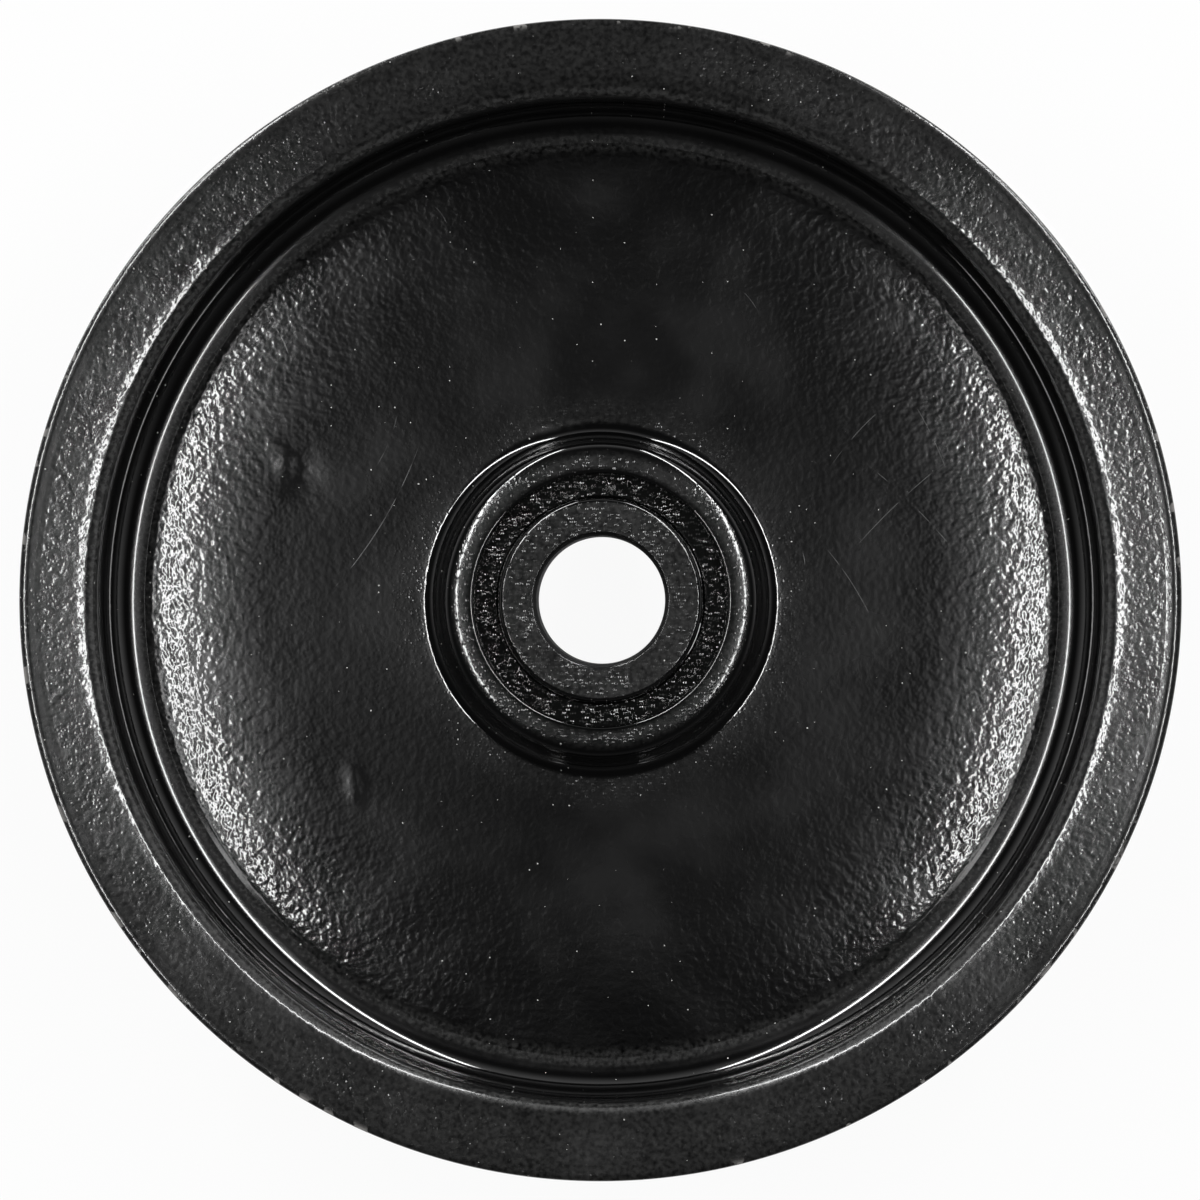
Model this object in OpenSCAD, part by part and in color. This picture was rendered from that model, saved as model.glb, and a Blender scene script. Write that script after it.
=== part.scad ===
// Flat idler pulley for a mower deck: two pressed halves back to back around a sealed ball bearing.
// Millimetres. Origin at the middle of the bore, Z along the axle, front of the pulley towards +Z.
// A pressing is drawn as the path of its front face, in radius and height, with a radius at each bend.

/* [Sheave] */
// Diameter over the flanges
flange_d = 152.4; // [148:0.2:160]
// Diameter of the face that the belt runs on
belt_face_d = 134.2; // [128:0.1:138]
// Width over both flanges
overall_w = 35; // [32:0.5:42]
// Thickness of the pressed sheet
sheet_t = 1.2; // [0.8:0.1:1.5]
// Lean of the flanges away from each other, in degrees
flange_flare = 13; // [4:1:18]
// Bend between rim and flange, front radius
flange_bend_r = 3.2; // [2.4:0.1:4]
// Rolled edge of the flange, front radius
edge_roll_r = 1.8; // [1.6:0.1:2.4]
// Angle through which the flange edge is rolled back, in degrees
edge_roll_angle = 40; // [30:1:80]
// Straight of the rolled edge beyond its bend
edge_tail = 0.3; // [0.1:0.1:1]
// Least straight that the flange keeps between its two bends
flange_straight = 0.1; // [0.1:0.1:1]
// Fillet between web and rim, front radius
rim_fillet_r = 5; // [2:0.1:6]
// Width of the flat ring where the two halves meet
seam_w = 0.6; // [0.4:0.1:3]
// Bend between the flat ring and the dished web, front radius
seam_bend_r = 2; // [1:0.5:8]
// Diameter at which the dish turns from its shallow slope to its steep one
dish_knee_d = 100; // [76:1:104]
// Slope of the dish beside the hub, in degrees
dish_hub_slope = 2; // [0.5:0.1:3]
// Least straight slope that the dish keeps beside its neighbours
dish_straight = 0.2; // [0.2:0.1:3]

/* [Bearing pocket] */
// Outer corner of the pocket, front radius
neck_corner_r = 2.4; // [1.8:0.1:2.8]
// Straight height of the pocket's wall
neck_wall_h = 0.2; // [0.1:0.1:1.2]
// Fillet between pocket and web, front radius
neck_fillet_r = 2.9; // [1.6:0.1:3.4]
// Diameter of the opening in the pocket's lip
lip_bore_d = 33.4; // [32.4:0.1:36]
// Clearance between the pocket and the bearing
pocket_gap = 0.03; // [0.01:0.01:0.1]

/* [Bearing rings] */
// Bore of the inner ring
bore_d = 17; // [15:0.1:18]
// Chamfer at both ends of the bore
bore_chamfer = 0.5; // [0.2:0.1:1]
// Outer diameter of the bearing
bearing_d = 40; // [39:0.5:44]
// Width of the outer ring
bearing_w = 17; // [15:0.5:20]
// Width of the inner ring
inner_ring_w = 21; // [18:0.5:26]
// Outer diameter of the inner ring
inner_land_d = 27; // [26:0.1:27.4]
// Rounding of the inner ring's outer corners
inner_corner_r = 0.7; // [0.2:0.1:1]
// Bore of the outer ring
outer_land_d = 32.8; // [32:0.1:33.2]
// Room that the outer ring's corners leave inside the pocket's bend
corner_relief = 0.3; // [0.2:0.1:0.6]

/* [Balls and cage] */
// Number of balls that the raceways are laid out for
ball_count = 8; // [8:1:8]
// Ball diameter
ball_d = 6.747; // [6:0.001:7]
// Diameter of the circle through the ball centres
pitch_d = 29; // [28.6:0.1:29.4]
// Clearance between a ball and a raceway
race_gap = 0.1; // [0.05:0.01:0.15]
// Clearance between a ball and its cage pocket
cage_gap = 0.1; // [0.05:0.01:0.2]
// Thickness of the cage ribbon
cage_t = 0.55; // [0.4:0.05:0.8]
// Clearance between the cage and the inner ring
cage_land_gap = 0.3; // [0.2:0.1:0.5]
// Width of the cage ribbon across the radius
cage_w = 1.9; // [1.6:0.1:2]
// Diameter of a rivet's shank
rivet_d = 0.9; // [0.6:0.1:1.1]
// Diameter of a rivet's head
rivet_head_d = 1.7; // [1.5:0.1:1.9]
// Height of a rivet's head
rivet_head_h = 0.4; // [0.2:0.1:0.6]
// Clearance of a rivet in its hole
rivet_gap = 0.02; // [0.01:0.01:0.05]

/* [Seals] */
// Thickness of a seal
seal_t = 1.2; // [0.8:0.1:1.5]
// Width of the edge of the outer ring that keeps a seal in its groove
seal_keeper_w = 0.5; // [0.3:0.1:0.8]
// Depth of the seal groove beyond the outer ring's bore
seal_groove_depth = 1; // [0.8:0.1:1.4]
// Height of that edge above the bottom of the groove
seal_keeper_h = 0.35; // [0.2:0.05:0.5]
// Clearance around a seal in its groove
seal_gap = 0.03; // [0.01:0.01:0.1]
// Clearance between a seal and the inner ring
seal_lip_gap = 0.1; // [0.05:0.05:0.4]
// Chamfer on the outer edge of the seal's lip
seal_lip_chamfer = 0.25; // [0.1:0.05:0.4]

/* [Hidden] */
$fn = 96;
// Steps round each bend of the sheet
bend_steps = 10;

paint_colour = [0.03, 0.03, 0.032];
rubber_colour = [0.05, 0.05, 0.05];
steel_colour = [0.72, 0.73, 0.75];
cage_colour = [0.55, 0.55, 0.56];

// Bearing
bore_r = bore_d / 2;
inner_land_r = inner_land_d / 2;
outer_land_r = outer_land_d / 2;
bearing_r = bearing_d / 2;
bearing_half_w = bearing_w / 2;
inner_half_w = inner_ring_w / 2;
pitch_r = pitch_d / 2;
ball_r = ball_d / 2;
race_r = ball_r + race_gap;
ball_step = 360 / ball_count;
outer_chamfer = neck_corner_r - sheet_t + corner_relief;

// Seals and their grooves
groove_r = outer_land_r + seal_groove_depth;
keeper_r = groove_r - seal_keeper_h;
groove_outer_z = bearing_half_w - seal_keeper_w;
groove_inner_z = groove_outer_z - seal_t - 2 * seal_gap;
seal_inner_r = inner_land_r + seal_lip_gap;
seal_outer_r = groove_r - seal_gap;
seal_inner_z = groove_inner_z + seal_gap;
seal_outer_z = groove_outer_z - seal_gap;

// Cage
cage_inner_r = inner_land_r + cage_land_gap;
cage_outer_r = cage_inner_r + cage_w;
cage_mid_r = (cage_inner_r + cage_outer_r) / 2;
cage_pocket_r = ball_r + cage_gap;
cage_shell_r = cage_pocket_r + cage_t;

// Pocket and web
lip_r = lip_bore_d / 2;
lip_z = bearing_half_w + pocket_gap + sheet_t;
neck_r = bearing_r + pocket_gap + sheet_t;
hub_z = lip_z - neck_corner_r - neck_wall_h - neck_fillet_r;
seam_z = sheet_t;
rim_r = belt_face_d / 2 - sheet_t;
seam_r = rim_r - rim_fillet_r - seam_w;
knee_r = dish_knee_d / 2;
knee_z = hub_z - tan(dish_hub_slope) * (knee_r - neck_r);
dish_rim_slope = atan2(knee_z - seam_z, seam_r - knee_r);
// The dish's arc fills the shorter of the two slopes that it joins
knee_setback = -dish_straight + min(
    (knee_r - neck_r) / cos(dish_hub_slope) - neck_fillet_r,
    (seam_r - knee_r) / cos(dish_rim_slope) - seam_bend_r * tan(dish_rim_slope / 2)
);
dish_r = knee_setback / tan((dish_rim_slope - dish_hub_slope) / 2);

// Flange: where it is too narrow for both of its bends, they tighten alike, down to the sheet's thickness
edge_heading = flange_flare - edge_roll_angle;
bend_reach = 1 - sin(flange_flare);
roll_reach = sin(flange_flare) - sin(edge_heading);
bends_room = flange_d / 2 - rim_r - edge_tail * cos(edge_heading) - flange_straight * cos(flange_flare);
least_room = sheet_t * (bend_reach + roll_reach);
spare_room = (flange_bend_r - sheet_t) * bend_reach + (edge_roll_r - sheet_t) * roll_reach;
bends_share = min(1, (bends_room - least_room) / spare_room);
bend_r = sheet_t + bends_share * (flange_bend_r - sheet_t);
roll_r = sheet_t + bends_share * (edge_roll_r - sheet_t);

// Flange, worked inwards from its rolled edge
edge_centre = [
    flange_d / 2 + roll_r * sin(edge_heading) - edge_tail * cos(edge_heading),
    overall_w / 2 - roll_r
];
edge_start = edge_centre + roll_r * left_of(ray(flange_flare));
edge_setback = roll_r * tan(edge_roll_angle / 2);
edge_corner = edge_start + edge_setback * ray(flange_flare);
edge_end = edge_corner + (edge_setback + edge_tail) * ray(edge_heading);
flange_z = edge_start[1] - tan(flange_flare) * (edge_start[0] - rim_r);

// Front face of a half, from the lip outwards: radius, height, front radius of the bend
front_face = [
    [lip_r, lip_z, 0],
    [neck_r, lip_z, neck_corner_r],
    [neck_r, hub_z, neck_fillet_r],
    [knee_r, knee_z, dish_r],
    [seam_r, seam_z, seam_bend_r],
    [rim_r, seam_z, rim_fillet_r],
    [rim_r, flange_z, bend_r],
    [edge_corner[0], edge_corner[1], roll_r],
    [edge_end[0], edge_end[1], 0]
];

// Unit vector at an angle from the radius
function ray(angle) = [cos(angle), sin(angle)];

// Vector turned a quarter to the left
function left_of(v) = [-v[1], v[0]];

// Place of vertex i of a path
function corner(path, i) = [path[i][0], path[i][1]];

// Direction in which a path leaves vertex i
function heading(path, i) =
    let (step = corner(path, i + 1) - corner(path, i))
    atan2(step[1], step[0]);

// Turn of a path at vertex i, positive to the left
function turn(path, i) = heading(path, i) - heading(path, i - 1);

// Length that the bend at vertex i takes from each straight beside it
function setback(path, i) = path[i][2] == 0 ? 0 : path[i][2] * tan(abs(turn(path, i)) / 2);

// Unit vector from the centre of the bend at vertex i to a point a share of the way round it
function spoke(path, i, share) =
    -sign(turn(path, i)) * left_of(ray(heading(path, i - 1) + share * turn(path, i)));

// Centre of the bend at vertex i
function bend_centre(path, i) =
    corner(path, i) - setback(path, i) * ray(heading(path, i - 1)) - path[i][2] * spoke(path, i, 0);

// Points round the bend at vertex i, on the face that lies a depth behind the front face
function bend_points(path, i, depth) =
    let (centre = bend_centre(path, i), face_r = path[i][2] + sign(turn(path, i)) * depth)
    [for (k = [0 : bend_steps]) centre + face_r * spoke(path, i, k / bend_steps)];

// Points of a whole face of the sheet, a depth behind the front face
function face_points(path, depth) =
    let (last = len(path) - 1)
    concat(
        [corner(path, 0) - depth * left_of(ray(heading(path, 0)))],
        [for (i = [1 : last - 1]) each bend_points(path, i, depth)],
        [corner(path, last) - depth * left_of(ray(heading(path, last - 1)))]
    );

// The same points in the opposite order
function backwards(points) = [for (i = [len(points) - 1 : -1 : 0]) points[i]];

// Section of a pressing: out along its front face and home along its back face
module sheet_section(path) {
    polygon(concat(face_points(path, 0), backwards(face_points(path, sheet_t))));
}

// Section of a ring, mirrored about the mid plane from the points of its upper half
module mirrored_section(upper) {
    lower = [for (point = backwards(upper)) [point[0], -point[1]]];
    polygon(concat(upper, lower));
}

// Repeats a piece at each ball, or half way between the balls
module around_balls(offset_share = 0) {
    for (i = [0 : ball_count - 1]) rotate((i + offset_share) * ball_step) children();
}

module sheave_half() {
    color(paint_colour)
        rotate_extrude() sheet_section(front_face);
}

module front_sheave_half() {
    sheave_half();
}

module back_sheave_half() {
    mirror([0, 0, 1]) sheave_half();
}

module bearing_outer_ring() {
    color(steel_colour)
        rotate_extrude()
            difference() {
                mirrored_section([
                    [outer_land_r, groove_inner_z],
                    [groove_r, groove_inner_z],
                    [groove_r, groove_outer_z],
                    [keeper_r, groove_outer_z],
                    [keeper_r, bearing_half_w],
                    [bearing_r - outer_chamfer, bearing_half_w],
                    [bearing_r, bearing_half_w - outer_chamfer]
                ]);
                translate([pitch_r, 0]) circle(race_r);
            }
}

module bearing_inner_ring() {
    core_r = inner_land_r - inner_corner_r;
    land_z = inner_half_w - inner_corner_r;
    color(paint_colour)
        union() {
            rotate_extrude()
                difference() {
                    mirrored_section([
                        [bore_r, inner_half_w - bore_chamfer],
                        [bore_r + bore_chamfer, inner_half_w],
                        [core_r, inner_half_w],
                        [core_r, land_z],
                        [inner_land_r, land_z]
                    ]);
                    translate([pitch_r, 0]) circle(race_r);
                }
            for (end = [0, 1])
                mirror([0, 0, end])
                    rotate_extrude()
                        translate([core_r, land_z])
                            intersection() {
                                circle(inner_corner_r);
                                square(inner_corner_r);
                            }
        }
}

module front_seal() {
    color(rubber_colour)
        rotate_extrude()
            polygon([
                [seal_inner_r, seal_inner_z],
                [seal_outer_r, seal_inner_z],
                [seal_outer_r, seal_outer_z],
                [seal_inner_r + seal_lip_chamfer, seal_outer_z],
                [seal_inner_r, seal_outer_z - seal_lip_chamfer]
            ]);
}

module back_seal() {
    mirror([0, 0, 1]) front_seal();
}

// Ribbon with half a spherical pocket over each ball and a flat land between them
module cage_front() {
    color(cage_colour)
        difference() {
            intersection() {
                union() {
                    cylinder(h = cage_t, r = cage_outer_r);
                    around_balls() translate([pitch_r, 0, 0]) sphere(cage_shell_r);
                }
                rotate_extrude()
                    translate([cage_inner_r, 0]) square([cage_w, cage_shell_r]);
            }
            around_balls() translate([pitch_r, 0, 0]) sphere(cage_pocket_r);
            around_balls(0.5)
                translate([cage_mid_r, 0, -cage_t]) cylinder(h = 3 * cage_t, d = rivet_d + 2 * rivet_gap);
        }
}

module cage_back() {
    mirror([0, 0, 1]) cage_front();
}

module cage_rivets() {
    head_r = rivet_head_d / 2;
    shank_r = rivet_d / 2;
    head_z = cage_t + rivet_head_h;
    color(steel_colour)
        around_balls(0.5)
            translate([cage_mid_r, 0, 0])
                rotate_extrude()
                    mirrored_section([
                        [0, head_z],
                        [shank_r, head_z],
                        [head_r, cage_t + rivet_head_h / 2],
                        [head_r, cage_t],
                        [shank_r, cage_t]
                    ]);
}

// Ball at its place around the pitch circle, counted from 1 at +X
module ball(place) {
    color(steel_colour)
        rotate((place - 1) * ball_step) translate([pitch_r, 0, 0]) sphere(ball_r);
}

front_sheave_half();
back_sheave_half();
bearing_outer_ring();
bearing_inner_ring();
front_seal();
back_seal();
cage_front();
cage_back();
cage_rivets();
ball(1);  // ball_1
ball(2);  // ball_2
ball(3);  // ball_3
ball(4);  // ball_4
ball(5);  // ball_5
ball(6);  // ball_6
ball(7);  // ball_7
ball(8);  // ball_8
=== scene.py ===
"""Looks of a flat idler pulley: two black painted pressings around a sealed ball bearing.

The pulley's sizes are in millimetres and become metres where a mesh is written. The studio's are in
metres. Angles are in degrees. The axle is Z, and the front is +Z.
"""

import logging
import math
from dataclasses import dataclass
from enum import Enum, IntEnum
from typing import Any, NamedTuple

import bpy
import numpy as np
from mathutils import Matrix, Vector


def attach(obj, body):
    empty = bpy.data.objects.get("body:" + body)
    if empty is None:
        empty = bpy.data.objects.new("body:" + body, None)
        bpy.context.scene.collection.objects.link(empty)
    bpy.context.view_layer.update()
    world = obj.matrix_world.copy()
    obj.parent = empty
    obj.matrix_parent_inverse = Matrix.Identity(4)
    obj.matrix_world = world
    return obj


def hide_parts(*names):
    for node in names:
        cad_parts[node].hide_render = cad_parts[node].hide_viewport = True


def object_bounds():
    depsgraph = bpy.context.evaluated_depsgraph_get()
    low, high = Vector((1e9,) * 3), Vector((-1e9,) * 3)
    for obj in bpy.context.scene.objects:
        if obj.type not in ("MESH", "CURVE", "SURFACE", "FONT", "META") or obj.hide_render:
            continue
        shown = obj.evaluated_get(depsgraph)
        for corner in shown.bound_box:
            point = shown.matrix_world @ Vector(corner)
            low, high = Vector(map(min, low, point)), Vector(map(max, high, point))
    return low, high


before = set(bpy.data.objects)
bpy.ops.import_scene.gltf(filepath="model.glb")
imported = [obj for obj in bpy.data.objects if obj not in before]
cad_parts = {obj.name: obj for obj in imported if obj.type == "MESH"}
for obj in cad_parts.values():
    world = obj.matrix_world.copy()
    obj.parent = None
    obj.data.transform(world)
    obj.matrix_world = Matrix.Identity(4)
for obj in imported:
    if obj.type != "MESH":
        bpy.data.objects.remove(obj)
CAD_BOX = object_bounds()

MM = 0.001
WHITE = (1.0, 1.0, 1.0, 1.0)
log = logging.getLogger("pulley")

Array = np.ndarray
Socket = bpy.types.NodeSocket
Colour = tuple[float, float, float]


class Side(Enum):
    """The two ends of the axle, with the sign of Z that each one faces."""

    FRONT = 1
    BACK = -1


class Lay(NamedTuple):
    """How the paint lies: its orange peel, its grain of beads, its haze, and its dust with painted sheen,
    each from 0 to 1.
    """

    peel: float
    grain: float
    haze: float
    # On the shoulder, seam and rim bend this share also paints the sheen of reflected light as a lighter
    # colour.
    dust: float


class Skin(Enum):
    """The ways that the paint lies on the stretches of metal."""

    SMOOTH = Lay(0.03, 0.0, 0.0, 0.0)
    # The dust shares of SHOULDER, SEAM and SATIN are mostly painted sheen: they lighten the paint on bends
    # that show pale reflected light.
    SHOULDER = Lay(0.03, 0.0, 0.0, 0.3)
    SEAM = Lay(0.05, 0.1, 0.8, 0.35)
    ROOT = Lay(0.03, 0.0, 0.8, 0.05)
    SATIN = Lay(0.05, 0.1, 0.9, 0.5)
    RING = Lay(0.25, 1.0, 1.0, 0.28)
    DUSTY = Lay(0.25, 1.0, 1.0, 0.18)
    FOOT = Lay(0.35, 0.45, 1.0, 0.12)
    CALM = Lay(0.35, 0.05, 1.0, 0.006)
    PEEL = Lay(1.0, 0.05, 1.0, 0.006)
    CREASE = Lay(0.5, 0.1, 0.9, 0.19)
    FLANGE = Lay(0.9, 0.3, 1.0, 0.22)
    EDGE = Lay(0.25, 0.2, 0.9, 0.2)


class Corner(IntEnum):
    """The corners of a half's front face that zones start from, by their place among all its corners."""

    LIP = 0
    NECK = 2
    KNEE = 4
    SHOULDER = 5
    SEAM = 6
    RIM = 7
    ROLL = 10


@dataclass(frozen=True)
class Zone:
    """A radius where the paint lies in a known way, given by a corner and how far outside it."""

    corner: Corner
    outside: float
    skin: Skin


ZONES = (
    Zone(Corner.LIP, 0.44, Skin.SMOOTH),
    Zone(Corner.LIP, 0.825, Skin.DUSTY),
    Zone(Corner.NECK, -2.4, Skin.DUSTY),
    Zone(Corner.NECK, -1.2, Skin.SMOOTH),
    Zone(Corner.NECK, 2.175, Skin.SMOOTH),
    Zone(Corner.NECK, 2.465, Skin.FOOT),
    Zone(Corner.NECK, 7.25, Skin.CALM),
    Zone(Corner.NECK, 15.385, Skin.CALM),
    Zone(Corner.KNEE, 0.0, Skin.PEEL),
    Zone(Corner.SHOULDER, -0.75, Skin.PEEL),
    Zone(Corner.SHOULDER, 0.125, Skin.SHOULDER),
    Zone(Corner.SEAM, 0.0, Skin.SHOULDER),
    Zone(Corner.SEAM, 0.1, Skin.SEAM),
    Zone(Corner.SEAM, 0.9, Skin.SEAM),
    Zone(Corner.SEAM, 1.35, Skin.ROOT),
    Zone(Corner.SEAM, 1.85, Skin.ROOT),
    Zone(Corner.SEAM, 2.35, Skin.SMOOTH),
    Zone(Corner.RIM, 0.0, Skin.SMOOTH),
    Zone(Corner.RIM, 0.26, Skin.SATIN),
    Zone(Corner.RIM, 1.073, Skin.SATIN),
    Zone(Corner.RIM, 1.593, Skin.CREASE),
    Zone(Corner.RIM, 2.8, Skin.CREASE),
    Zone(Corner.RIM, 4.2, Skin.FLANGE),
    Zone(Corner.ROLL, -1.8, Skin.FLANGE),
    Zone(Corner.ROLL, -1.35, Skin.EDGE),
    Zone(Corner.ROLL, 0.0, Skin.EDGE),
)


# Curves and surfaces


def left_of(direction: Array) -> Array:
    """Turns a direction in the section a quarter to the left."""
    return np.array([-direction[1], direction[0]])


def unit(vector: Array) -> Array:
    """Gives the direction of a vector."""
    return vector / np.hypot(*vector)


def heading(angle: float) -> Array:
    """Gives the direction in the section that climbs by an angle."""
    return np.array([math.cos(angle), math.sin(angle)])


def rise(value: Array, low: float, high: float) -> Array:
    """Runs from 0 to 1, with soft ends, while a value goes from low to high."""
    share = np.clip((value - low) / (high - low), 0.0, 1.0)
    return share * share * (3.0 - 2.0 * share)


def rounded(corners: Array, radii: Array, chord: float, turn: float) -> Array:
    """Rounds the inner corners of an open path with arcs that touch both sides.

    An arc of radius R at a corner where the path turns by A starts R tan(A / 2) before the corner. Its
    points are the centre plus the first spoke turned by equal shares of A. Straights are cut evenly.

    Args:
        corners: Corners of the path as rows of radius and height.
        radii: Radius of the arc at each corner; the first and last are not used.
        chord: Longest step along the path.
        turn: Largest turn of one step, in degrees.

    Returns:
        The points as rows of radius and height.
    """
    points = [corners[:1]]
    for k in range(1, len(corners) - 1):
        before = unit(corners[k] - corners[k - 1])
        after = unit(corners[k + 1] - corners[k])
        angle = math.atan2(before[0] * after[1] - before[1] * after[0], before @ after)
        start = corners[k] - before * radii[k] * math.tan(abs(angle) / 2)
        centre = start + math.copysign(radii[k], angle) * left_of(before)
        steps = math.ceil(max(abs(angle) / math.radians(turn), abs(angle) * radii[k] / chord, 2))
        swing = np.linspace(0.0, angle, steps + 1)[:, None]
        spoke = start - centre
        arc = centre + np.cos(swing) * spoke + np.sin(swing) * left_of(spoke)
        straight = start - points[-1][-1]
        cuts = max(1, math.ceil(np.hypot(*straight) / chord))
        share = np.linspace(0.0, 1.0, cuts + 1)[1:-1, None]
        points += [points[-1][-1] + share * straight, arc]
    return np.concatenate(points + [corners[-1:]])


def revolved(outline: Array, steps: int) -> tuple[Array, Array]:
    """Carries a closed outline once round the axle.

    Point (i, j) is the outline's point i, (r, z), turned by j equal steps: (r cos a, r sin a, z). Both
    parameters run round to their start, so the skin has no seam and no pole.

    Args:
        outline: Points as rows of radius and height, with the metal on the right of the path.
        steps: Number of steps round the axle.

    Returns:
        A grid of points, outline by steps by three, and the quads as rows of four numbers.
    """
    angle = np.linspace(0.0, 2.0 * np.pi, steps, endpoint=False)
    radius, height = outline[:, :1], outline[:, 1:]
    grid = np.stack([radius * np.cos(angle), radius * np.sin(angle), height + 0.0 * angle], axis=-1)
    number = np.arange(len(outline) * steps).reshape(len(outline), steps)
    ahead = np.roll(number, -1, axis=0)
    quads = np.stack([number, ahead, np.roll(ahead, -1, axis=1), np.roll(number, -1, axis=1)], axis=-1)
    return grid, quads.reshape(-1, 4)


def linked(name: str, data: bpy.types.ID) -> bpy.types.Object:
    """Makes an object at the origin and links it to the scene.

    Args:
        name: Name of the object.
        data: Its mesh, lamp or camera.

    Returns:
        The object.
    """
    made = bpy.data.objects.new(name, data)
    bpy.context.scene.collection.objects.link(made)
    return made


def piece(name: str, grid: Array, quads: Array, side: Side, marks: dict[str, Array]) -> bpy.types.Object:
    """Makes a smooth object at the origin from a grid of points, mirrored for the back.

    The back's quads list their points the other way round, so that they face outwards too.

    Args:
        name: Name of the object and its mesh.
        grid: Points in millimetres, made for the front.
        quads: Rows of four point numbers, facing outwards at the front.
        side: End of the axle that the piece faces.
        marks: Values for the finish by attribute name, one for each row of the grid.

    Returns:
        The object, linked to the scene.
    """
    points = grid.reshape(-1, 3) * MM * np.array([1.0, 1.0, side.value])
    mesh = bpy.data.meshes.new(name)
    mesh.from_pydata(points.tolist(), [], quads[:, :: side.value].tolist())
    mesh.polygons.foreach_set("use_smooth", np.ones(len(quads), bool))
    for mark, values in marks.items():
        store = mesh.attributes.new(mark, "FLOAT", "POINT")
        store.data.foreach_set("value", np.repeat(values, grid.shape[1]).astype(np.float32))
    mesh.update()
    return linked(name, mesh)


def seated(made: bpy.types.Object, finish: bpy.types.Material, body: str, node: str) -> bpy.types.Object:
    """Dresses a piece and puts it on its body in place of a node.

    Args:
        made: The piece.
        finish: Its material.
        body: Body that it rides on.
        node: Node that it stands for.

    Returns:
        The same piece.
    """
    made.data.materials.append(finish)
    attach(made, body)
    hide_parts(node)
    return made


# Nodes


@dataclass(frozen=True)
class Fade:
    """A soft change from a bottom to a top value while another value goes from low to high."""

    low: float
    high: float
    bottom: float = 0.0
    top: float = 1.0


class Nodes:
    """A node tree, with short calls for the nodes that the finishes and the dome share."""

    def __init__(self, tree: bpy.types.NodeTree) -> None:
        """Takes the tree that gets the nodes."""
        self.tree = tree

    def node(self, kind: str, values: dict[Any, Any] | None = None, **settings: Any) -> bpy.types.Node:
        """Adds a node.

        Args:
            kind: Type of the node.
            values: Input sockets by name or number, each with a number or a socket to link.
            **settings: Properties of the node.

        Returns:
            The node.
        """
        made = self.tree.nodes.new(kind)
        for name, value in settings.items():
            setattr(made, name, value)
        for name, value in (values or {}).items():
            self.put(made.inputs[name], value)
        return made

    def put(self, socket: Socket, value: Any) -> None:
        """Links a socket to another one, or sets its number.

        Args:
            socket: Input socket.
            value: The other socket, or the number.
        """
        if isinstance(value, bpy.types.NodeSocket):
            self.tree.links.new(value, socket)
        else:
            socket.default_value = value

    def math(self, operation: str, *terms: Any) -> Socket:
        """Works out one sum from numbers and sockets."""
        return self.node("ShaderNodeMath", dict(enumerate(terms)), operation=operation).outputs[0]

    def axes(self, vector: Socket) -> bpy.types.NodeOutputs:
        """Splits a vector into its X, Y and Z."""
        return self.node("ShaderNodeSeparateXYZ", {0: vector}).outputs

    def ramp(self, value: Socket, fade: Fade) -> Socket:
        """Runs smoothly from a fade's bottom to its top."""
        terms = {0: value, 1: fade.low, 2: fade.high, 3: fade.bottom, 4: fade.top}
        return self.node("ShaderNodeMapRange", terms, interpolation_type="SMOOTHSTEP").outputs[0]

    def blend(self, share: Any, first: Any, second: Any) -> Socket:
        """Goes from a first number to a second one by a share."""
        return self.node("ShaderNodeMix", {0: share, 2: first, 3: second}, data_type="FLOAT").outputs[0]

    def seen(self) -> Socket:
        """Finds the rays that show a surface itself.

        Returns:
            A socket that gives 1 on rays from the camera, and on mirrored and clear ones.
        """
        path = self.node("ShaderNodeLightPath").outputs
        mirrored = self.math("MAXIMUM", path["Is Glossy Ray"], path["Is Transmission Ray"])
        return self.math("MAXIMUM", path["Is Camera Ray"], mirrored)


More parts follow.
